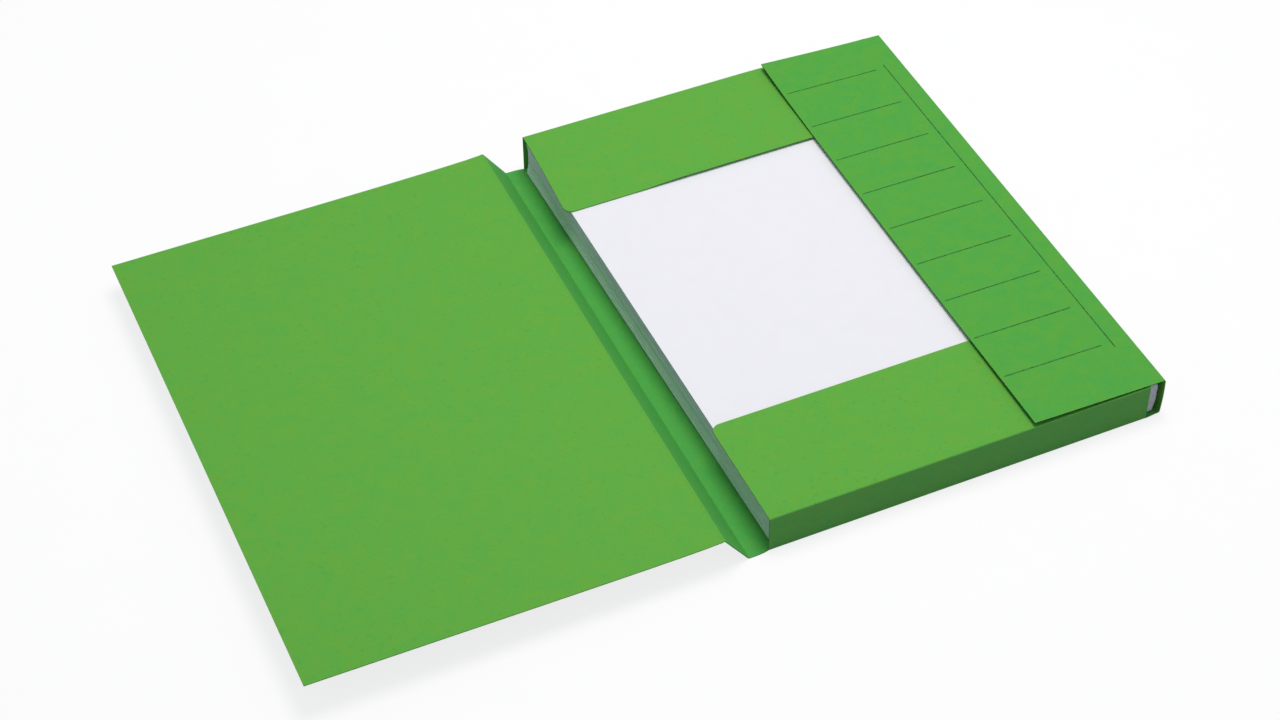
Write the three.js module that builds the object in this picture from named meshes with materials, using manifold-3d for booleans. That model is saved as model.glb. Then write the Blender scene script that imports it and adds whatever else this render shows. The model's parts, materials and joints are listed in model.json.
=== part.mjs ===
// Three flap folder of green card, lying open, with a stack of A4 sheets inside.
// Millimetres, +Z up. The open cover lies towards -X and the side wall stands at +X.
// The card is creased, not cut, along every fold. Panels that swing are solids of their own,
// each drawn standing along +Z from its fold line and then turned about that line.

import * as THREE from 'three';
import { mergeVertices } from 'three/addons/utils/BufferGeometryUtils.js';
import Module from 'manifold-3d';

// Driving dimensions: card and paper
const CARD = 0.5;
const PAPER_LENGTH = 297;
const PAPER_WIDTH = 210;
const STACK_HEIGHT = 21;

// Driving dimensions: room left around the stack
const NEAR_CLEARANCE = 0.4;
const FAR_CLEARANCE = 4.6;
const TOP_CLEARANCE = 0.3;
const LEFT_INSET = 1;
const RIGHT_CLEARANCE = 5.5;

// Driving dimensions: the two end walls and the flaps that fold in from them
const END_FLAP_DEPTH = 66;
const END_FLAP_WIDTH = 207;
const END_FLAP_CORNER = 5;
const BEND_RADIUS = 0.8;

// Driving dimensions: the side flap, which lies over both end flaps
const SIDE_FLAP_WIDTH = 74;
const SIDE_FLAP_INSET = 0.9;
const SIDE_FLAP_REST_GAP = 0.3;
const SIDE_FLAP_RISE_DEG = 1.4;

// Driving dimensions: the strip left of the stack, the spine and the cover
const GUTTER_WIDTH = 10.6;
const SHEET_OVERHANG = 0.5;
const SPINE_ALLOWANCE = 0.1;
const SPINE_LEAN_DEG = 35;
const COVER_WIDTH = 207;

// Distance from a fold line to the edge of each swinging panel
const FOLD_GAP = 0.35;

// Sizes that follow
const BOX_LENGTH = CARD + NEAR_CLEARANCE + PAPER_LENGTH + FAR_CLEARANCE + CARD;
const BOX_WIDTH = LEFT_INSET + PAPER_WIDTH + RIGHT_CLEARANCE + CARD;
const BOX_HEIGHT = CARD + STACK_HEIGHT + TOP_CLEARANCE + CARD;
const SPINE_HEIGHT = BOX_HEIGHT + SPINE_ALLOWANCE;
const COVER_LENGTH = BOX_LENGTH + 2 * SHEET_OVERHANG;
const SIDE_LENGTH = BOX_LENGTH - 2 * SIDE_FLAP_INSET;
const SIDE_WALL_HEIGHT = BOX_HEIGHT + SIDE_FLAP_REST_GAP;
const MID_LENGTH = BOX_LENGTH / 2;
const SPINE_LEAN = THREE.MathUtils.degToRad(SPINE_LEAN_DEG);
const SIDE_FLAP_RISE = THREE.MathUtils.degToRad(SIDE_FLAP_RISE_DEG);
const QUARTER_TURN = Math.PI / 2;

// Fold lines, all parallel to Y and in the middle of the card
const SPINE_FOLD = { x: -GUTTER_WIDTH, z: CARD / 2 };
const SIDE_FOLD = { x: BOX_WIDTH - CARD / 2, z: CARD / 2 };
const COVER_EDGE_X = SPINE_FOLD.x - SPINE_HEIGHT * Math.sin(SPINE_LEAN) - COVER_WIDTH;

const CORNER_STEPS = 6;
const CUT_MARGIN = 1;

const card = (color) => new THREE.MeshStandardMaterial({ color, roughness: 0.85, metalness: 0 });
const paper = () => new THREE.MeshStandardMaterial({ color: '#ecedf2', roughness: 0.9, metalness: 0 });

const wasm = await Module();
wasm.setup();

// A closed three.js geometry as a solid that can be joined and cut
function toSolid(geometry) {
  const bare = geometry.index ? geometry.toNonIndexed() : geometry.clone();
  bare.deleteAttribute('normal');
  bare.deleteAttribute('uv');
  const merged = mergeVertices(bare, 1e-4);
  const vertProperties = new Float32Array(merged.attributes.position.array);
  const triVerts = new Uint32Array(merged.index.array);
  return new wasm.Manifold(new wasm.Mesh({ numProp: 3, vertProperties, triVerts }));
}

// The solid back as a three.js geometry
function toGeometry(solid) {
  const mesh = solid.getMesh();
  const geometry = new THREE.BufferGeometry();
  geometry.setAttribute('position', new THREE.BufferAttribute(new Float32Array(mesh.vertProperties), 3));
  geometry.setIndex(new THREE.BufferAttribute(new Uint32Array(mesh.triVerts), 1));
  geometry.computeVertexNormals();
  return geometry;
}

// Section of the folded sheet across the box, drawn with Y to the right and Z up:
// near flap, near wall, back, far wall and far flap in one bent strip of card
function boxSection() {
  const outer = BEND_RADIUS;
  const inner = BEND_RADIUS - CARD;
  const farEnd = BOX_LENGTH - outer;
  const top = BOX_HEIGHT - outer;
  const section = new THREE.Shape();
  section.moveTo(END_FLAP_DEPTH, BOX_HEIGHT);
  section.absarc(outer, top, outer, QUARTER_TURN, 2 * QUARTER_TURN, false);
  section.absarc(outer, outer, outer, 2 * QUARTER_TURN, 3 * QUARTER_TURN, false);
  section.absarc(farEnd, outer, outer, 3 * QUARTER_TURN, 4 * QUARTER_TURN, false);
  section.absarc(farEnd, top, outer, 0, QUARTER_TURN, false);
  section.lineTo(BOX_LENGTH - END_FLAP_DEPTH, BOX_HEIGHT);
  section.lineTo(BOX_LENGTH - END_FLAP_DEPTH, BOX_HEIGHT - CARD);
  section.absarc(farEnd, top, inner, QUARTER_TURN, 0, true);
  section.absarc(farEnd, outer, inner, 4 * QUARTER_TURN, 3 * QUARTER_TURN, true);
  section.absarc(outer, outer, inner, 3 * QUARTER_TURN, 2 * QUARTER_TURN, true);
  section.absarc(outer, top, inner, 2 * QUARTER_TURN, QUARTER_TURN, true);
  section.lineTo(END_FLAP_DEPTH, BOX_HEIGHT - CARD);
  section.closePath();
  return section;
}

// Flat outline of the back: the gutter runs a little longer than the box, and the strip right of
// the end walls runs on to the side fold
function backOutline() {
  const left = SPINE_FOLD.x + FOLD_GAP;
  const right = SIDE_FOLD.x - FOLD_GAP;
  const outline = new THREE.Shape();
  outline.moveTo(left, -SHEET_OVERHANG);
  outline.lineTo(0, -SHEET_OVERHANG);
  outline.lineTo(0, BEND_RADIUS);
  outline.lineTo(END_FLAP_WIDTH, BEND_RADIUS);
  outline.lineTo(END_FLAP_WIDTH, SIDE_FLAP_INSET);
  outline.lineTo(right, SIDE_FLAP_INSET);
  outline.lineTo(right, BOX_LENGTH - SIDE_FLAP_INSET);
  outline.lineTo(END_FLAP_WIDTH, BOX_LENGTH - SIDE_FLAP_INSET);
  outline.lineTo(END_FLAP_WIDTH, BOX_LENGTH - BEND_RADIUS);
  outline.lineTo(0, BOX_LENGTH - BEND_RADIUS);
  outline.lineTo(0, BOX_LENGTH + SHEET_OVERHANG);
  outline.lineTo(left, BOX_LENGTH + SHEET_OVERHANG);
  outline.closePath();
  return outline;
}

// Waste outside the rounded corner of an end flap. The flap lies from the corner (x, y)
// towards inX and inY, each +1 or -1.
function cornerWaste(x, y, inX, inY) {
  const waste = new THREE.Shape();
  waste.moveTo(x - inX * CUT_MARGIN, y - inY * CUT_MARGIN);
  waste.lineTo(x + inX * END_FLAP_CORNER, y - inY * CUT_MARGIN);
  for (let i = 0; i <= CORNER_STEPS; i += 1) {
    const turn = (QUARTER_TURN * i) / CORNER_STEPS;
    const across = END_FLAP_CORNER * (1 - Math.sin(turn));
    const along = END_FLAP_CORNER * (1 - Math.cos(turn));
    waste.lineTo(x + inX * across, y + inY * along);
  }
  waste.lineTo(x - inX * CUT_MARGIN, y + inY * END_FLAP_CORNER);
  waste.closePath();
  const depth = CARD + 2 * CUT_MARGIN;
  const geometry = new THREE.ExtrudeGeometry(waste, { depth, bevelEnabled: false });
  geometry.translate(0, 0, BOX_HEIGHT - CARD - CUT_MARGIN);
  return toSolid(geometry);
}

// Back of the folder with both end walls and end flaps, all one folded sheet
function makeBackPanel() {
  const extrude = { depth: END_FLAP_WIDTH, bevelEnabled: false, curveSegments: CORNER_STEPS };
  const walls = new THREE.ExtrudeGeometry(boxSection(), extrude);
  const alongX = new THREE.Matrix4().makeBasis(
    new THREE.Vector3(0, 1, 0),
    new THREE.Vector3(0, 0, 1),
    new THREE.Vector3(1, 0, 0),
  );
  walls.applyMatrix4(alongX);
  const back = new THREE.ExtrudeGeometry(backOutline(), { depth: CARD, bevelEnabled: false });
  let solid = toSolid(walls).add(toSolid(back));
  for (const [x, inX] of [[0, 1], [END_FLAP_WIDTH, -1]]) {
    solid = solid.subtract(cornerWaste(x, END_FLAP_DEPTH, inX, -1));
    solid = solid.subtract(cornerWaste(x, BOX_LENGTH - END_FLAP_DEPTH, inX, 1));
  }
  const mesh = new THREE.Mesh(toGeometry(solid), card('#62ae46'));
  mesh.name = 'back_panel';
  return mesh;
}

// Flat card panel standing along +Z, from one fold gap above its fold line to the given end
function makePanel(name, end, length, color) {
  const geometry = new THREE.BoxGeometry(CARD, length, end - FOLD_GAP);
  geometry.translate(0, 0, (end + FOLD_GAP) / 2);
  const mesh = new THREE.Mesh(geometry, card(color));
  mesh.name = name;
  return mesh;
}

// Group whose origin lies on a fold line, halfway along the box, turned about that line
function makeFold(x, z, turn) {
  const fold = new THREE.Group();
  fold.position.set(x, 0, z);
  fold.rotation.y = turn;
  return fold;
}

// Spine strip leaning to the left, with the open cover level at its top fold
function makeSpineAndCover() {
  const spineFold = makeFold(SPINE_FOLD.x, SPINE_FOLD.z, -SPINE_LEAN);
  spineFold.position.y = MID_LENGTH;
  spineFold.add(makePanel('spine', SPINE_HEIGHT - FOLD_GAP, COVER_LENGTH, '#4a9842'));
  const coverFold = makeFold(0, SPINE_HEIGHT, SPINE_LEAN - QUARTER_TURN);
  coverFold.add(makePanel('front_cover', COVER_WIDTH, COVER_LENGTH, '#61aa45'));
  spineFold.add(coverFold);
  return spineFold;
}

// Upright side wall, with the side flap folded back over the end flaps
function makeSideWallAndFlap() {
  const wallFold = makeFold(SIDE_FOLD.x, SIDE_FOLD.z, 0);
  wallFold.position.y = MID_LENGTH;
  wallFold.add(makePanel('side_wall', SIDE_WALL_HEIGHT - FOLD_GAP, SIDE_LENGTH, '#3c6b34'));
  const flapFold = makeFold(0, SIDE_WALL_HEIGHT, SIDE_FLAP_RISE - QUARTER_TURN);
  flapFold.add(makePanel('side_flap', SIDE_FLAP_WIDTH, SIDE_LENGTH, '#55a746'));
  wallFold.add(flapFold);
  return wallFold;
}

// A4 sheets in one block, pushed up against the near wall
function makePaperStack() {
  const geometry = new THREE.BoxGeometry(PAPER_WIDTH, PAPER_LENGTH, STACK_HEIGHT);
  const mesh = new THREE.Mesh(geometry, paper());
  mesh.name = 'paper_stack';
  mesh.position.x = LEFT_INSET + PAPER_WIDTH / 2;
  mesh.position.y = CARD + NEAR_CLEARANCE + PAPER_LENGTH / 2;
  mesh.position.z = CARD + STACK_HEIGHT / 2;
  return mesh;
}

// The origin lies on the surface under the middle of the open folder
const folder = new THREE.Group();
folder.position.set(-(COVER_EDGE_X + BOX_WIDTH) / 2, -MID_LENGTH, 0);
folder.add(makeBackPanel());
folder.add(makePaperStack());
folder.add(makeSideWallAndFlap());
folder.add(makeSpineAndCover());

export default folder;
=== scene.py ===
import json
import math
import random

import bmesh
import bpy
from mathutils import Matrix, Vector


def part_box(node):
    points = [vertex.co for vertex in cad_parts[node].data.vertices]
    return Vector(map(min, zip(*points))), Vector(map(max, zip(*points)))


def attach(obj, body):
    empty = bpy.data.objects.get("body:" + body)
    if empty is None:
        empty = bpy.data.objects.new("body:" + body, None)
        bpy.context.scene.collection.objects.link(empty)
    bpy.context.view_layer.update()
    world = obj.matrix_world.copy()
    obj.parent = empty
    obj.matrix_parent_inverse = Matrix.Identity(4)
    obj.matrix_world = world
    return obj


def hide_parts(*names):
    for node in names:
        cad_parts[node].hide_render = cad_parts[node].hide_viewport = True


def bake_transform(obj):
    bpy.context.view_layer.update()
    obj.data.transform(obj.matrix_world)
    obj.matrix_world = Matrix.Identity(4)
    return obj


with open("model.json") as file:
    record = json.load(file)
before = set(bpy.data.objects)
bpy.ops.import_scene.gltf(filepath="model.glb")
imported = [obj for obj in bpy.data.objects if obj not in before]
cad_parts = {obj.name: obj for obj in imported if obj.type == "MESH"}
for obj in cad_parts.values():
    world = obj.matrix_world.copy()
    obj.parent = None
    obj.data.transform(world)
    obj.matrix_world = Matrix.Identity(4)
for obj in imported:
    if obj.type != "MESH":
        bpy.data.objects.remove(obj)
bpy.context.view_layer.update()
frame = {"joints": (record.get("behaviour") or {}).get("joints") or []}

# Back of the folder. One blank of through-dyed green manila card, half a millimetre thick, creased and
# folded up into a wall and in over the paper at the near and far ends. It lies flat on the surface, and
# its left strip runs on as far as the crease of the spine.
MM = 0.001

joints = {joint["name"]: Vector(joint["pos_m"]) for joint in frame["joints"]}
cover_low, cover_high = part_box("front_cover")
back_low, back_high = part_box("back_panel")
paper_low, paper_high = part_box("paper_stack")
side_low, side_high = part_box("side_wall")

card_thickness = cover_high.z - cover_low.z
card_middle = card_thickness / 2
crease_reach = 1.2 * MM

end_flap_depth = 66 * MM
end_flap_width = 208.3 * MM
end_flap_left = paper_low.x - 1 * MM
end_flap_corner = 5 * MM
end_flap_droop = 0.2 * MM
far_flap_lift = 1.2 * MM
far_wall_rise = 0.9 * MM
far_flap_flare = 2.6 * MM
sheet_overhang = 0.5 * MM
wall_near = back_low.y + sheet_overhang
wall_far = back_high.y - sheet_overhang
outer_bend = 0.8 * MM
bend_radius = outer_bend - card_middle
corner_steps = 10
bend_steps = 6
flap_steps = 12
floor_steps = 24
back_columns = 24
gutter_steps = 6
side_strip_steps = 4
# Shares of the far flap's width: its edge comes off the paper over the first pair and goes back by most of
# its lift over the second, and its wall's rise ends over the third
lift_begins = (0.18, 0.32)
lift_ends = (0.68, 0.95)
rise_ends = (0.6, 0.88)
lift_lost = 0.8


def linear(hex_colour):
    """The linear colour of an sRGB hex value."""
    channels = [int(hex_colour[i:i + 2], 16) / 255 for i in (1, 3, 5)]
    curve = [c / 12.92 if c <= 0.04045 else ((c + 0.055) / 1.055) ** 2.4 for c in channels]
    return (*curve, 1.0)


def add_node(tree, kind, settings=None, **links):
    """Adds a node, sets its values and sockets, and links other nodes' outputs into it."""
    node = tree.nodes.new(kind)
    for key, value in (settings or {}).items():
        if isinstance(key, str) and hasattr(node, key):
            setattr(node, key, value)
        else:
            node.inputs[key].default_value = value
    for key, source in links.items():
        index = int(key[3:]) if key.startswith("in_") else key.replace("_", " ")
        tree.links.new(source, node.inputs[index])
    return node


def new_material(name):
    """A material with an empty node tree but for its shader and output."""
    material = bpy.data.materials.new(name)
    material.use_nodes = True
    tree = material.node_tree
    shader = tree.nodes["Principled BSDF"]
    return material, tree, shader


card_flock_colour = "#4A9A3E"


def manila_card(name, face_colour, deep_colour, fibre_colour, bump_strength):
    """Uncoated card made from dyed pulp: matt, clouded in two tones, with dark flocks and pale fibres."""
    material, tree, shader = new_material(name)
    place = add_node(tree, "ShaderNodeTexCoord").outputs["Object"]
    # Pulp clouds are about 7 mm across, and the felt side's grain is about 0.7 mm
    clouds = add_node(tree, "ShaderNodeTexNoise", {"Scale": 1 / (7 * MM), "Detail": 3.0, "Roughness": 0.6},
                      Vector=place)
    grain = add_node(tree, "ShaderNodeTexNoise", {"Scale": 1 / (0.7 * MM), "Detail": 4.0, "Roughness": 0.7},
                     Vector=place)
    # Flocks of deeper dye are about 2 mm, a little larger than real ones, so that they show
    flocks = add_node(tree, "ShaderNodeTexNoise", {"Scale": 1 / (2.6 * MM), "Detail": 1.0}, Vector=place)
    # Fibres are about 2 mm long and drawn a little thicker than real ones, so that they show
    turned = add_node(tree, "ShaderNodeMapping", {"Rotation": (0.3, 0.2, 0.9), "Scale": (1.0, 2.8, 1.0)},
                      Vector=place)
    fibres = add_node(tree, "ShaderNodeTexNoise", {"Scale": 1 / (1.8 * MM), "Detail": 2.0, "Distortion": 1.4},
                      Vector=turned.outputs["Vector"])
    cloud_share = add_node(tree, "ShaderNodeMapRange", {"From Min": 0.34, "From Max": 0.66},
                           Value=clouds.outputs["Fac"])
    flock_share = add_node(tree, "ShaderNodeMapRange",
                           {"From Min": 0.62, "From Max": 0.76, "To Min": 0.0, "To Max": 0.3},
                           Value=flocks.outputs["Fac"])
    fibre_share = add_node(tree, "ShaderNodeMapRange",
                           {"From Min": 0.6, "From Max": 0.78, "To Min": 0.0, "To Max": 0.1},
                           Value=fibres.outputs["Fac"])
    grain_shade = add_node(tree, "ShaderNodeMapRange",
                           {"From Min": 0.3, "From Max": 0.7, "To Min": 0.95, "To Max": 1.045},
                           Value=grain.outputs["Fac"])
    dyed = add_node(tree, "ShaderNodeMix",
                    {"data_type": "RGBA", 6: linear(face_colour), 7: linear(deep_colour)},
                    in_0=cloud_share.outputs["Result"])
    shaded = add_node(tree, "ShaderNodeVectorMath", {"operation": "SCALE"},
                      in_0=dyed.outputs[2], Scale=grain_shade.outputs["Result"])
    flocked = add_node(tree, "ShaderNodeMix", {"data_type": "RGBA", 7: linear(card_flock_colour)},
                       in_0=flock_share.outputs["Result"], in_6=shaded.outputs["Vector"])
    fibrous = add_node(tree, "ShaderNodeMix", {"data_type": "RGBA", 7: linear(fibre_colour)},
                       in_0=fibre_share.outputs["Result"], in_6=flocked.outputs[2])
    tree.links.new(fibrous.outputs[2], shader.inputs["Base Color"])
    dry = add_node(tree, "ShaderNodeMapRange",
                   {"From Min": 0.3, "From Max": 0.7, "To Min": 0.8, "To Max": 0.94},
                   Value=grain.outputs["Fac"])
    tree.links.new(dry.outputs["Result"], shader.inputs["Roughness"])
    shader.inputs["IOR"].default_value = 1.45
    shader.inputs["Specular IOR Level"].default_value = 0.2
    height = add_node(tree, "ShaderNodeMath", {"operation": "ADD"},
                      in_0=grain.outputs["Fac"], in_1=fibre_share.outputs["Result"])
    relief = add_node(tree, "ShaderNodeBump", {"Strength": bump_strength, "Distance": 0.05 * MM},
                      Height=height.outputs["Value"])
    tree.links.new(relief.outputs["Normal"], shader.inputs["Normal"])
    return material


# The same card in its plain face and in copies that differ in colour. The bluer floor and creases, and the
# less
# blue walls, are painted light: the bluish light in the shade and the light that the card throws back on
# itself. Cut edges too: those of the back and the side flap are painted shade, drawn dark for the shadow
# line that lies along them
card_face = manila_card("green_manila_card", "#66AC3F", "#5DAD44", "#8CC46E", 0.35)
card_bluish_light = manila_card("green_manila_card_bluish_light", "#55A94A", "#4CA84E", "#7CBE6C", 0.35)
card_wall_bluish_shade = manila_card("green_manila_card_wall_bluish_shade", "#68B04F", "#5FB053", "#8CC678", 0.35)
card_cut_edge = manila_card("green_manila_card_cut_edge", "#5CA845", "#57A543", "#9BCB80", 0.5)
card_back_shaded_edge = manila_card("green_manila_card_back_shaded_edge", "#448A3A", "#40853E", "#74AC62", 0.5)
card_shaded_edge = manila_card("green_manila_card_shaded_edge", "#1F4F21", "#1D4A24", "#3E7438", 0.5)


def card_piece(name, surface, face=card_face, rim=card_cut_edge):
    """A card of full thickness from its middle surface, with its rim in the cut edge's material."""
    mesh = bpy.data.meshes.new(name)
    bmesh.ops.recalc_face_normals(surface, faces=surface.faces)
    surface.to_mesh(mesh)
    surface.free()
    mesh.materials.append(face)
    mesh.materials.append(rim)
    flat = bpy.data.objects.new(name + "_surface", mesh)
    bpy.context.scene.collection.objects.link(flat)
    thicken = flat.modifiers.new("thickness", "SOLIDIFY")
    thicken.thickness = card_thickness
    thicken.offset = 0
    thicken.use_even_offset = True
    thicken.material_offset_rim = 1
    depsgraph = bpy.context.evaluated_depsgraph_get()
    solid = bpy.data.meshes.new_from_object(flat.evaluated_get(depsgraph))
    bpy.data.objects.remove(flat)
    bpy.data.meshes.remove(mesh)
    solid.name = name
    for polygon in solid.polygons:
        polygon.use_smooth = True
    solid.set_sharp_from_angle(angle=math.radians(50))
    piece = bpy.data.objects.new(name, solid)
    bpy.context.scene.collection.objects.link(piece)
    return piece


def arc_points(centre_y, centre_z, start_degrees, end_degrees):
    """Points (y, z) round one bend of the card's middle surface."""
    points = []
    for step in range(bend_steps + 1):
        angle = math.radians(start_degrees + (end_degrees - start_degrees) * step / bend_steps)
        points.append((centre_y + bend_radius * math.cos(angle), centre_z + bend_radius * math.sin(angle)))
    return points


def end_flap_rows():
    """Rows of one end flap from its free edge: (reach from the wall, height, corner inset, share of lift)."""
    wall_bend = bend_radius + card_middle
    flat_width = end_flap_depth - wall_bend
    turn_step = math.pi / 2 / corner_steps
    flat_step = (flat_width - end_flap_corner) / flap_steps
    distances = [end_flap_corner * (1 - math.cos(turn_step * k)) for k in range(corner_steps)]
    distances += [end_flap_corner + flat_step * k for k in range(flap_steps)]
    rows = []
    for distance in distances:
        into_corner = max(0.0, end_flap_corner - distance)
        inset = end_flap_corner - math.sqrt(end_flap_corner ** 2 - into_corner ** 2)
        lie = (flat_width - distance) / flat_width
        height = back_high.z - card_middle - end_flap_droop * lie ** 1.5
        rows.append((end_flap_depth - distance, height, inset, lie ** 1.5))
    return rows


def smooth(value, low, high):
    """0 below low, 1 above high, and a soft step between."""
    share = min(1.0, max(0.0, (value - low) / (high - low)))
    return share * share * (3 - 2 * share)


def far_lift(x):
    """How far the far flap's free edge stands off the paper: most in the middle, little at both ends."""
    across = (x - end_flap_left) / end_flap_width
    return far_flap_lift * smooth(across, *lift_begins) * (1 - lift_lost * smooth(across, *lift_ends))


def back_rows():
    """All rows across the folded blank, from the near flap's free edge round to the far flap's."""
    low = card_middle + bend_radius
    high = back_high.z - card_middle - bend_radius
    near_bend = wall_near + card_middle + bend_radius
    far_bend = wall_far - card_middle - bend_radius
    rows = [(wall_near + reach, height, inset, 0.0) for reach, height, inset, share in end_flap_rows()]
    rows += [(y, z, 0.0, 0.0) for y, z in arc_points(near_bend, high, 90, 180)]
    rows += [(y, z, 0.0, 0.0) for y, z in arc_points(near_bend, low, 180, 270)]
    first_flat = len(rows) - 1
    rows += [(near_bend + (far_bend - near_bend) * k / floor_steps, card_middle, 0.0, 0.0)
             for k in range(1, floor_steps)]
    last_flat = len(rows)
    rows += [(y, z, 0.0, 0.0) for y, z in arc_points(far_bend, low, 270, 360)]
    rows += [(y, z, 0.0, 0.0) for y, z in arc_points(far_bend, high, 0, 90)]
    rows += [(wall_far - reach, *rest) for reach, *rest in reversed(end_flap_rows())]
    return rows, first_flat, last_flat


def make_back():
    """Floor, both end walls and both end flaps as one grid, with a strip on either side of the walls."""
    rows, first_flat, last_flat = back_rows()
    surface = bmesh.new()
    grid = []
    for y, z, inset, share in rows:
        span = end_flap_width - 2 * inset
        xs = [end_flap_left + inset + span * k / back_columns for k in range(back_columns + 1)]
        top_share = smooth(z, 0.5 * back_high.z, back_high.z) if y > 0 else 0.0
        row = []
        for k, x in enumerate(xs):
            across = k / back_columns
            flare = share * far_flap_flare * (1 - across)
            rise = top_share * far_wall_rise * (1 - smooth(across, *rise_ends))
            lift = rise * (1 - share) + share * far_lift(x)
            row.append(surface.verts.new((x - flare, y, z + lift)))
        grid.append(row)
    for lower, upper in zip(grid, grid[1:]):
        for k in range(back_columns):
            surface.faces.new((lower[k], lower[k + 1], upper[k + 1], upper[k]))
    flat_rows = grid[first_flat:last_flat + 1]
    # Strip left of the walls. It is a little longer than the box at the spine, and tapers in to the walls
    gutter_left = joints["spine_fold"].x + crease_reach
    gutter_xs = [gutter_left + (end_flap_left - gutter_left) * k / gutter_steps for k in range(gutter_steps)]
    strip = [[surface.verts.new((x, row[0].co.y, card_middle)) for x in gutter_xs] + [row[0]]
             for row in flat_rows]
    for y, wall_y in ((back_low.y, wall_near + card_middle), (back_high.y, wall_far - card_middle)):
        end_row = []
        for x in gutter_xs + [end_flap_left]:
            share = (x - gutter_left) / (end_flap_left - gutter_left)
            end_row.append(surface.verts.new((x, y + (wall_y - y) * share ** 3, card_middle)))
        strip.insert(0 if y == back_low.y else len(strip), end_row)
    for lower, upper in zip(strip, strip[1:]):
        for k in range(gutter_steps):
            surface.faces.new((lower[k], lower[k + 1], upper[k + 1], upper[k]))
    # Strip right of the walls, as far as the side crease
    side_right = joints["side_wall_fold"].x - crease_reach
    end_flap_right = end_flap_left + end_flap_width
    side_step = (side_right - end_flap_right) / side_strip_steps
    side_xs = [end_flap_right + side_step * k for k in range(1, side_strip_steps + 1)]
    strip = [[row[-1]] + [surface.verts.new((x, row[0].co.y, card_middle)) for x in side_xs]
             for row in flat_rows]
    for y, wall_y in ((side_low.y, wall_near + card_middle), (side_high.y, wall_far - card_middle)):
        end_row = []
        for x in [end_flap_right] + side_xs:
            share = (x - end_flap_right) / (side_right - end_flap_right)
            end_row.append(surface.verts.new((x, wall_y + (y - wall_y) * share, card_middle)))
        strip.insert(0 if y == side_low.y else len(strip), end_row)
    for lower, upper in zip(strip, strip[1:]):
        for k in range(side_strip_steps):
            surface.faces.new((lower[k], lower[k + 1], upper[k + 1], upper[k]))
    # Its cut edges are drawn dark: painted shade, for the shadow line along them
    return card_piece("folder_back", surface, rim=card_back_shaded_edge)


folder_back = make_back()
# The floor is drawn a little bluer than the flaps, and so are the walls, but less: painted light, for the
# bluish light in the shade
folder_back.data.materials.append(card_bluish_light)
folder_back.data.materials.append(card_wall_bluish_shade)
floor_slot = 2
wall_slot = 3
for polygon in folder_back.data.polygons:
    if polygon.material_index != 0:
        continue
    if polygon.center.z < 1.5 * card_thickness:
        polygon.material_index = floor_slot
    elif abs(polygon.normal.y) > 0.7:
        polygon.material_index = wall_slot
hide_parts("back_panel")
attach(folder_back, "folder_back")

# Paper. About two hundred loose A4 sheets of white copier paper, cut by guillotine and put in by hand, so
# that their edges show as fine layers that don't quite line up. The pile lies turned by 0.6 degrees, and
# its top sheets by less. The sheets of a layer lie a little apart, so that it is wider than one sheet.
sheets_per_layer = 2
sheet_thickness = 0.1 * MM
layer_scatter = 0.12 * MM
layer_turn = 0.02
pile_turn = {"foot": 0.62, "middle": 0.62, "top": 0.27}
pile_right = {"foot": 0.3 * MM, "middle": 1.4 * MM, "top": 0.1 * MM}
pile_away = 1.2 * MM
pile_spread = 0.9 * MM
groove_depth = 0.5 * MM
foot_depth = 1.2 * MM
foot_layers = 3


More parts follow.
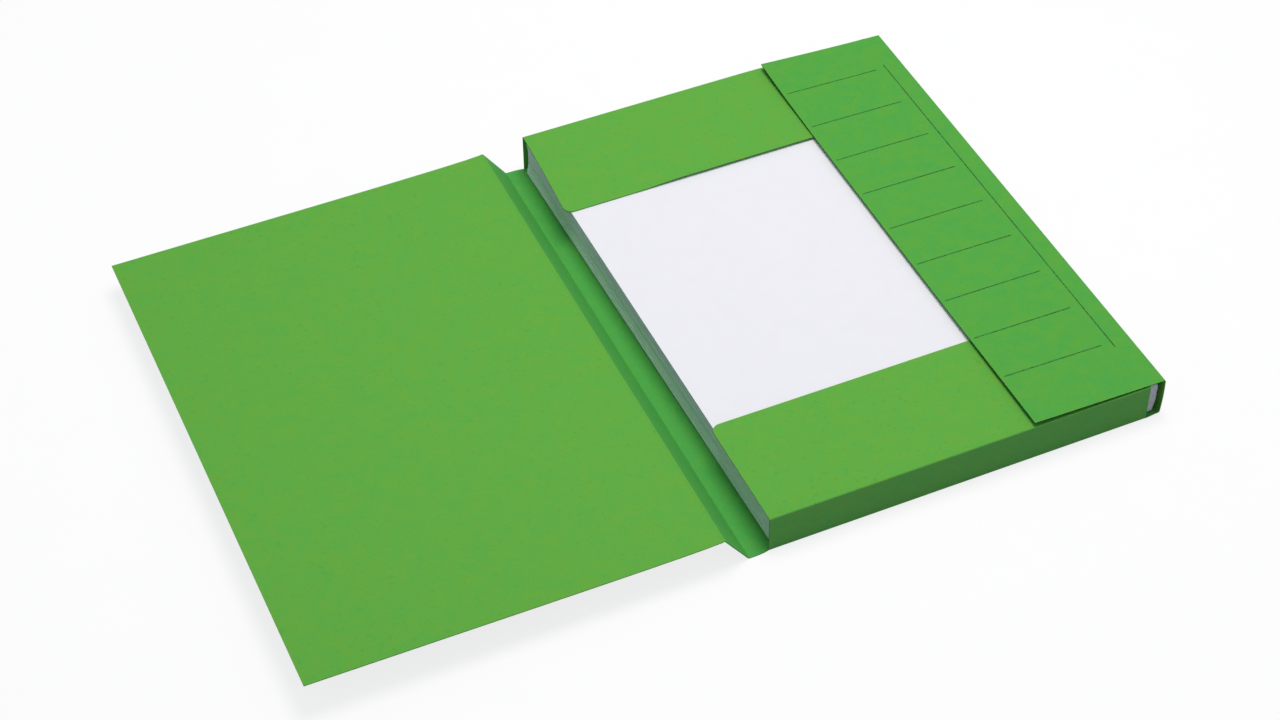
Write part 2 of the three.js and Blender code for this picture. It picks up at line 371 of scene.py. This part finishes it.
def copier_paper():
    """Uncoated white paper: bright, matt, faintly cloudy, with grey lines of painted shade between the sheets
    at its sides.
    """
    material, tree, shader = new_material("white_copier_paper")
    place = add_node(tree, "ShaderNodeTexCoord").outputs["Object"]
    clouds = add_node(tree, "ShaderNodeTexNoise", {"Scale": 1 / (9 * MM), "Detail": 3.0}, Vector=place)
    cloud_shade = add_node(tree, "ShaderNodeMapRange",
                           {"From Min": 0.3, "From Max": 0.7, "To Min": 0.985, "To Max": 1.0},
                           Value=clouds.outputs["Fac"])
    # Sheets are 0.1 mm, drawn as bands about four sheets thick, so that they show. The bands are painted
    # shade, for the gaps between the sheets, and darken only the sides
    bands_place = add_node(tree, "ShaderNodeMapping", {"Scale": (6.0, 6.0, 1 / (0.4 * MM))}, Vector=place)
    bands = add_node(tree, "ShaderNodeTexNoise", {"Scale": 1.0, "Detail": 3.0, "Roughness": 0.75},
                     Vector=bands_place.outputs["Vector"])
    sheet_gap_shade = add_node(tree, "ShaderNodeMapRange",
                          {"From Min": 0.3, "From Max": 0.7, "To Min": 0.72, "To Max": 1.0},
                          Value=bands.outputs["Fac"])
    facing = add_node(tree, "ShaderNodeNewGeometry").outputs["Normal"]
    facing_parts = add_node(tree, "ShaderNodeSeparateXYZ", Vector=facing)
    flat_share = add_node(tree, "ShaderNodeMath", {"operation": "ABSOLUTE"}, in_0=facing_parts.outputs["Z"])
    side_gap_shade = add_node(tree, "ShaderNodeMix", {"data_type": "FLOAT", 3: 1.0},
                          in_0=flat_share.outputs["Value"], in_2=sheet_gap_shade.outputs["Result"])
    shade = add_node(tree, "ShaderNodeMath", {"operation": "MULTIPLY"},
                     in_0=cloud_shade.outputs["Result"], in_1=side_gap_shade.outputs[0])
    # The side along the spine is drawn green, most at its foot: painted light, for the green light that the
    # card throws back on it
    left_share = add_node(tree, "ShaderNodeMapRange", {"From Min": -0.4, "From Max": -0.9},
                          Value=facing_parts.outputs["X"])
    spot = add_node(tree, "ShaderNodeSeparateXYZ", Vector=place)
    low_share = add_node(tree, "ShaderNodeMapRange",
                         {"From Min": 6 * MM, "From Max": 15 * MM, "To Min": 1.0, "To Max": 0.35},
                         Value=spot.outputs["Z"])
    green_bounce_share = add_node(tree, "ShaderNodeMath", {"operation": "MULTIPLY"},
                           in_0=left_share.outputs["Result"], in_1=low_share.outputs["Result"])
    tint = add_node(tree, "ShaderNodeMix", {"data_type": "RGBA", 6: linear("#EDEDF2"), 7: linear("#C6F4CC")},
                    in_0=green_bounce_share.outputs["Value"])
    white = add_node(tree, "ShaderNodeVectorMath", {"operation": "SCALE"},
                     in_0=tint.outputs[2], Scale=shade.outputs["Value"])
    tree.links.new(white.outputs["Vector"], shader.inputs["Base Color"])
    shader.inputs["Roughness"].default_value = 0.9
    shader.inputs["Specular IOR Level"].default_value = 0.2
    return material


def by_height(values, height):
    """The value for one sheet, from those at the pile's foot, middle and top."""
    low, middle, top = values["foot"], values["middle"], values["top"]
    return low + (middle - low) * smooth(height, 0.0, 0.4) + (top - middle) * smooth(height, 0.8, 1.0)


def make_paper():
    """The pile as one closed block whose sides step in and out from layer to layer."""
    drift = random.Random(7)
    layer_height = sheets_per_layer * sheet_thickness
    layers = round((paper_high.z - paper_low.z) / layer_height)
    middle = (paper_low + paper_high) / 2
    half_width = (paper_high.x - paper_low.x) / 2
    half_length = (paper_high.y - paper_low.y) / 2
    block = bmesh.new()
    rings = []
    for layer in range(layers):
        share = layer / (layers - 1)
        scatter = Vector((drift.uniform(-1, 1), drift.uniform(-1, 1))) * layer_scatter
        degrees = by_height(pile_turn, share) + drift.uniform(-1, 1) * layer_turn
        turn = Matrix.Rotation(math.radians(degrees), 2)
        inset = 0.0
        if layer < foot_layers:
            inset = foot_depth
        elif layer in (layers - 2, layers - 3):
            inset = groove_depth
        for level in (layer, layer + 1):
            height = paper_low.z + level * layer_height
            ring = []
            for across, along in ((-1, -1), (1, -1), (1, 1), (-1, 1)):
                flat_corner = Vector((across * (half_width - inset), along * (half_length - inset)))
                corner = turn @ flat_corner + scatter
                x = middle.x + corner.x + by_height(pile_right, share) + max(0, across) * pile_spread
                ring.append(block.verts.new((x, middle.y + corner.y + pile_away, height)))
            rings.append(ring)
    for lower, upper in zip(rings, rings[1:]):
        for k in range(4):
            block.faces.new((lower[k], lower[(k + 1) % 4], upper[(k + 1) % 4], upper[k]))
    block.faces.new(reversed(rings[0]))
    block.faces.new(rings[-1])
    mesh = bpy.data.meshes.new("paper_sheets")
    bmesh.ops.recalc_face_normals(block, faces=block.faces)
    block.to_mesh(mesh)
    block.free()
    mesh.materials.append(copier_paper())
    piece = bpy.data.objects.new("paper_sheets", mesh)
    bpy.context.scene.collection.objects.link(piece)
    return piece


paper_sheets = make_paper()
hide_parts("paper_stack")
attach(paper_sheets, "folder_back")

# Side wall. The right-hand strip of the same blank, creased up from the back. It stands a little higher
# than the paper and carries the side flap.
crease_steps = 14
crease_sharpness = 2.4
length_steps = 24


def panel_surface(point, start, end, steps, low_y, high_y):
    """Middle surface of a panel, start to end away from its crease, placed by point(distance, y, along)."""
    surface = bmesh.new()
    grid = []
    for j in range(length_steps + 1):
        along = 2 * j / length_steps - 1
        y = low_y + (high_y - low_y) * j / length_steps
        distances = [start + (end - start) * k / steps for k in range(steps + 1)]
        grid.append([surface.verts.new(point(distance, y, along)) for distance in distances])
    for lower, upper in zip(grid, grid[1:]):
        for k in range(steps):
            surface.faces.new((lower[k], lower[k + 1], upper[k + 1], upper[k]))
    return surface


def crease_surface(before, fold, after, low_y, high_y):
    """Middle surface of a crease: a tight curve that leaves one panel and joins the next without a kink."""
    surface = bmesh.new()
    grid = []
    for j in range(length_steps + 1):
        along = 2 * j / length_steps - 1
        y = low_y + (high_y - low_y) * j / length_steps
        start, corner, end = before(y, along), fold(y, along), after(y, along)
        row = []
        for k in range(crease_steps + 1):
            t = k / crease_steps
            shares = ((1 - t) ** 2, 2 * t * (1 - t) * crease_sharpness, t ** 2)
            spot = (start * shares[0] + corner * shares[1] + end * shares[2]) / sum(shares)
            row.append(surface.verts.new(spot))
        grid.append(row)
    for lower, upper in zip(grid, grid[1:]):
        for k in range(crease_steps):
            surface.faces.new((lower[k], lower[k + 1], upper[k + 1], upper[k]))
    return surface


side_fold = joints["side_wall_fold"]
side_flap_fold = joints["side_flap_fold"]
side_wall_height = side_flap_fold.z - side_fold.z
side_wall_bow = 0.4 * MM
side_wall_steps = 10
flap_near_skew = 0.4 * MM
flap_far_skew = 1.0 * MM


def skewed(y, along, share):
    """A place along the side strip, whose ends lean nearer towards its top, as if folded out of square."""
    return y - share * (flap_near_skew * (1 - along) + flap_far_skew * (1 + along)) / 2


def side_wall_point(distance, y, along):
    """A point on the wall. Along runs from -1 at the near end to 1 at the far end."""
    share = distance / side_wall_height
    bow = side_wall_bow * math.sin(math.pi * share)
    return Vector((side_fold.x + bow, skewed(y, along, share), side_fold.z + distance))


def back_near_side_point(y, along):
    return Vector((side_fold.x - crease_reach, y, side_fold.z))


side_wall = card_piece("side_wall_card", panel_surface(
    side_wall_point, crease_reach, side_wall_height - crease_reach, side_wall_steps, side_low.y, side_high.y))
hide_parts("side_wall")
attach(side_wall, "side_wall_strip")

side_foot_crease = card_piece("side_foot_crease", crease_surface(
    back_near_side_point,
    lambda y, along: side_wall_point(0, y, along),
    lambda y, along: side_wall_point(crease_reach, y, along),
    side_low.y, side_high.y))
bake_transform(side_foot_crease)

# Side flap. The last panel on the right, folded back over both end flaps. Its free edge springs up about two
# millimetres, less in the middle, and the far corner curls up more. It is printed in dark green ink with nine
# short writing lines and one long line along the fold.
side_flap_width = 74 * MM
side_flap_rise = math.radians(1.4)
side_flap_sag = 0.8 * MM
near_corner_lift = 0.95 * MM
far_corner_lift = 2.8 * MM
lowest_along = -0.27
side_flap_steps = 16
far_curl_power = 5
curl_power = 1.6
# The flap's face is the card drawn darker and less yellow: painted shade, for the dimmer, cooler light on it
side_flap_shaded_face = manila_card("green_manila_card_side_shaded", "#5AA83F", "#4FA745", "#84C26C", 0.35)


def side_flap_point(distance, y, along):
    near_share = max(0.0, (lowest_along - along) / (lowest_along + 1))
    far_share = max(0.0, (along - lowest_along) / (1 - lowest_along))
    near_lift = near_corner_lift * smooth(near_share, 0, 1)
    far_corner = far_corner_lift * far_share ** far_curl_power
    lift = (near_lift + far_corner - side_flap_sag) * (distance / side_flap_width) ** curl_power
    return Vector((side_flap_fold.x - distance * math.cos(side_flap_rise), skewed(y, along, 1),
                   side_flap_fold.z + distance * math.sin(side_flap_rise) + lift))


side_flap_surface = panel_surface(
    side_flap_point, crease_reach, side_flap_width, side_flap_steps, side_low.y, side_high.y)
# Its cut edges are drawn darkest: painted shade, for the shadow line along the flap's free edge
side_flap = card_piece("side_flap_card", side_flap_surface, side_flap_shaded_face, card_shaded_edge)
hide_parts("side_flap")
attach(side_flap, "side_flap_panel")

side_top_crease = card_piece("side_top_crease", crease_surface(
    lambda y, along: side_wall_point(side_wall_height - crease_reach, y, along),
    lambda y, along: side_wall_point(side_wall_height, y, along),
    lambda y, along: side_flap_point(crease_reach, y, along),
    side_low.y, side_high.y), side_flap_shaded_face)
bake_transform(side_top_crease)

line_width = 0.7 * MM
ink_height = 0.02 * MM
short_line_start = 71.6 * MM
short_line_end = 16.2 * MM
long_line_at = 10.4 * MM
line_count = 9
short_line_steps = 16
long_line_steps = 24
first_line_y = wall_near + 34.8 * MM
line_spacing = 29.95 * MM
long_line_near = wall_near + 31 * MM
long_line_far = wall_near + 277 * MM


def printing_ink():
    """Dark green offset ink, a little broken where it missed the card's grain."""
    material, tree, shader = new_material("dark_green_printing_ink")
    place = add_node(tree, "ShaderNodeTexCoord").outputs["Object"]
    speckle = add_node(tree, "ShaderNodeTexNoise", {"Scale": 1 / (0.8 * MM), "Detail": 2.0}, Vector=place)
    missed = add_node(tree, "ShaderNodeMapRange",
                      {"From Min": 0.45, "From Max": 0.62, "To Min": 0.0, "To Max": 0.7},
                      Value=speckle.outputs["Fac"])
    ink = add_node(tree, "ShaderNodeMix", {"data_type": "RGBA", 6: linear("#275F28"), 7: linear("#4A9640")},
                   in_0=missed.outputs["Result"])
    tree.links.new(ink.outputs[2], shader.inputs["Base Color"])
    shader.inputs["Roughness"].default_value = 0.8
    shader.inputs["Specular IOR Level"].default_value = 0.25
    return material


def ink_line(lines, start, end, width_step, steps):
    """A printed line on the flap from start to end, each (distance from the fold, y), as a film of ink."""
    rings = []
    for k in range(steps + 1):
        share = k / steps
        distance = start[0] + (end[0] - start[0]) * share
        y = start[1] + (end[1] - start[1]) * share
        ring = []
        for side, level in ((-1, 0), (1, 0), (1, 1), (-1, 1)):
            spot_distance = distance + side * width_step[0]
            spot_y = y + side * width_step[1]
            along = 2 * (spot_y - side_low.y) / (side_high.y - side_low.y) - 1
            spot = side_flap_point(spot_distance, spot_y, along)
            spot.z += card_middle + ink_height * level
            ring.append(lines.verts.new(spot))
        rings.append(ring)
    for lower, upper in zip(rings, rings[1:]):
        for k in range(4):
            lines.faces.new((lower[k], lower[(k + 1) % 4], upper[(k + 1) % 4], upper[k]))
    lines.faces.new(reversed(rings[0]))
    lines.faces.new(rings[-1])


def make_lines():
    """All the printed lines as one piece: the short ones across the flap, and the long one along its fold."""
    lines = bmesh.new()
    half = line_width / 2
    for number in range(line_count):
        y = first_line_y + number * line_spacing
        ink_line(lines, (short_line_start, y), (short_line_end, y), (0, half), short_line_steps)
    ink_line(lines, (long_line_at, long_line_near), (long_line_at, long_line_far), (half, 0), long_line_steps)
    mesh = bpy.data.meshes.new("writing_lines")
    bmesh.ops.recalc_face_normals(lines, faces=lines.faces)
    lines.to_mesh(mesh)
    lines.free()
    mesh.materials.append(printing_ink())
    piece = bpy.data.objects.new("writing_lines", mesh)
    bpy.context.scene.collection.objects.link(piece)
    return piece


writing_lines = make_lines()
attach(writing_lines, "side_flap_panel")

# Spine. A strip of the same blank between two creases, which stands up as high as the filled folder when
# the cover is shut. Open, it leans to the left and carries the cover's weight.
spine_fold = joints["spine_fold"]
cover_fold = joints["cover_fold"]
spine_height = (cover_fold - spine_fold).length
spine_way = (cover_fold - spine_fold).normalized()
spine_steps = 6


def spine_point(distance, y, along):
    spot = spine_fold + spine_way * distance
    return Vector((spot.x, y, spot.z))


def back_near_spine_point(y, along):
    return Vector((spine_fold.x + crease_reach, y, spine_fold.z))


spine_surface = panel_surface(
    spine_point, crease_reach, spine_height - crease_reach, spine_steps, cover_low.y, cover_high.y)
# The spine is in the bluer copy of the card: painted light, for the bluish light in the shade
spine = card_piece("spine_card", spine_surface, card_bluish_light)
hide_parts("spine")
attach(spine, "spine_strip")

spine_crease = card_piece("spine_crease", crease_surface(
    back_near_spine_point,
    lambda y, along: spine_point(0, y, along),
    lambda y, along: spine_point(crease_reach, y, along),
    cover_low.y, cover_high.y), card_bluish_light)
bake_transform(spine_crease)

# Front cover. The left-hand panel of the blank, plain on its inside, which shows here. It hangs on the
# spine's top crease and dips a little beside it, and the card's twist lifts its near corner and drops its
# far one.
cover_width = 207 * MM
near_corner_rise = 1.3 * MM
far_corner_drop = 2.1 * MM
cover_dip = 1.1 * MM
dip_power = 0.45
cover_steps = 24


def cover_point(distance, y, along):
    share = max(0.0, distance / cover_width)
    corner = near_corner_rise * (1 - along) / 2 - far_corner_drop * (1 + along) / 2
    dip = cover_dip * math.sin(math.pi * share ** dip_power)
    return Vector((cover_fold.x - distance, y, cover_fold.z + corner * share - dip))


front_cover = card_piece("front_cover_card", panel_surface(
    cover_point, crease_reach, cover_width, cover_steps, cover_low.y, cover_high.y))
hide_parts("front_cover")
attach(front_cover, "cover")

cover_crease = card_piece("cover_crease", crease_surface(
    lambda y, along: spine_point(spine_height - crease_reach, y, along),
    lambda y, along: spine_point(spine_height, y, along),
    lambda y, along: cover_point(crease_reach, y, along),
    cover_low.y, cover_high.y))
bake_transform(cover_crease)

# Surface under the folder: a plain white table top. It shows white to the camera and keeps a pale shadow,
# and it throws little light back up, so that the folder's walls stay darker than its top.
table_half = 3.0
table_drop = 0.05 * MM
table_seen_white = 0.8


def white_table():
    """Matt white paint, faintly uneven, which takes a soft shadow."""
    material, tree, shader = new_material("white_table_top")
    place = add_node(tree, "ShaderNodeTexCoord").outputs["Object"]
    grain = add_node(tree, "ShaderNodeTexNoise", {"Scale": 40.0, "Detail": 3.0}, Vector=place)
    pale = add_node(tree, "ShaderNodeMapRange",
                    {"From Min": 0.3, "From Max": 0.7, "To Min": 0.97, "To Max": 0.99},
                    Value=grain.outputs["Fac"])
    tree.links.new(pale.outputs["Result"], shader.inputs["Base Color"])
    shader.inputs["Roughness"].default_value = 1.0
    shader.inputs["Specular IOR Level"].default_value = 0.0
    seen_white = add_node(tree, "ShaderNodeEmission", {"Color": (1, 1, 1, 1), "Strength": 1.0})
    seen = add_node(tree, "ShaderNodeMixShader", {"Fac": table_seen_white},
                    in_1=shader.outputs["BSDF"], in_2=seen_white.outputs["Emission"])
    thrown = add_node(tree, "ShaderNodeBsdfDiffuse", {"Color": linear("#AAAAAA")})
    path = add_node(tree, "ShaderNodeLightPath")
    by_sight = add_node(tree, "ShaderNodeMath", {"operation": "MAXIMUM"},
                        in_0=path.outputs["Is Camera Ray"], in_1=path.outputs["Is Glossy Ray"])
    table = add_node(tree, "ShaderNodeMixShader",
                     in_0=by_sight.outputs["Value"], in_1=thrown.outputs["BSDF"], in_2=seen.outputs["Shader"])
    tree.links.new(table.outputs["Shader"], tree.nodes["Material Output"].inputs["Surface"])
    return material


table_mesh = bpy.data.meshes.new("table_top")
table_signs = ((-1, -1), (1, -1), (1, 1), (-1, 1))
table_corners = [(x * table_half, y * table_half, -table_drop) for x, y in table_signs]
table_mesh.from_pydata(table_corners, [], [(0, 1, 2, 3)])
table_mesh.materials.append(white_table())
table_top = bpy.data.objects.new("table_top", table_mesh)
bpy.context.scene.collection.objects.link(table_top)

# Light. A round soft lamp hangs above the folder, in a pale room that is dimmer on the left. Together they
# light a level surface so that its colour shows as it is, and the lamp's light falls off a little sideways.
lamp_share = 0.63
lamp_height = 1.3
lamp_width = 0.7
lamp_right = 0.17
lamp_behind = 0.1
lamp_colour = (1.03, 1.0, 0.91)
room_colour = (0.95, 1.0, 1.18, 1)
room_left = 0.8
room_right = 1.12

lamp = bpy.data.lights.new("soft_lamp", "AREA")
lamp.shape = "DISK"
lamp.size = lamp_width
lamp.energy = lamp_share * math.pi ** 2 * (lamp_height ** 2 + lamp_width ** 2 / 4)
lamp.color = lamp_colour
lamp_object = bpy.data.objects.new("soft_lamp", lamp)
lamp_object.location = (lamp_right, lamp_behind, lamp_height)
bpy.context.scene.collection.objects.link(lamp_object)

room = bpy.data.worlds.new("pale_room")
room.use_nodes = True
bpy.context.scene.world = room
room_tree = room.node_tree
room_light = room_tree.nodes["Background"]
room_light.inputs["Color"].default_value = room_colour
room_way = add_node(room_tree, "ShaderNodeTexCoord").outputs["Generated"]
room_parts = add_node(room_tree, "ShaderNodeSeparateXYZ", Vector=room_way)
room_strength = add_node(room_tree, "ShaderNodeMapRange",
                         {"From Min": -1.0, "From Max": 0.1,
                          "To Min": room_left * (1 - lamp_share), "To Max": room_right * (1 - lamp_share)},
                         Value=room_parts.outputs["X"])
room_tree.links.new(room_strength.outputs["Result"], room_light.inputs["Strength"])
room_seen = add_node(room_tree, "ShaderNodeBackground", {"Color": (1, 1, 1, 1), "Strength": 1.0})
room_path = add_node(room_tree, "ShaderNodeLightPath")
room_mix = add_node(room_tree, "ShaderNodeMixShader", in_0=room_path.outputs["Is Camera Ray"],
                    in_1=room_light.outputs["Background"], in_2=room_seen.outputs["Background"])
room_tree.links.new(room_mix.outputs["Shader"], room_tree.nodes["World Output"].inputs["Surface"])

# Camera. It looks down at 45 degrees from the near left with a longer lens, from a metre and a third
# away, and is turned a touch about its own axis.
camera_place = Vector((-380.8, -877.6, 951.4)) * MM
camera_heading = math.radians(23.9)
camera_pitch = math.radians(45.06)
camera_roll = math.radians(-0.49)
camera_lens = 74.4

camera = bpy.data.cameras.new("camera")
camera.lens = camera_lens
camera.sensor_width = 36
camera_object = bpy.data.objects.new("camera", camera)
camera_object.matrix_world = (
    Matrix.Translation(camera_place)
    @ Matrix.Rotation(-camera_heading, 4, "Z")
    @ Matrix.Rotation(math.pi / 2 - camera_pitch, 4, "X")
    @ Matrix.Rotation(camera_roll, 4, "Z")
)
bpy.context.scene.collection.objects.link(camera_object)
bpy.context.scene.camera = camera_object
bpy.context.scene.view_settings.view_transform = "Standard"
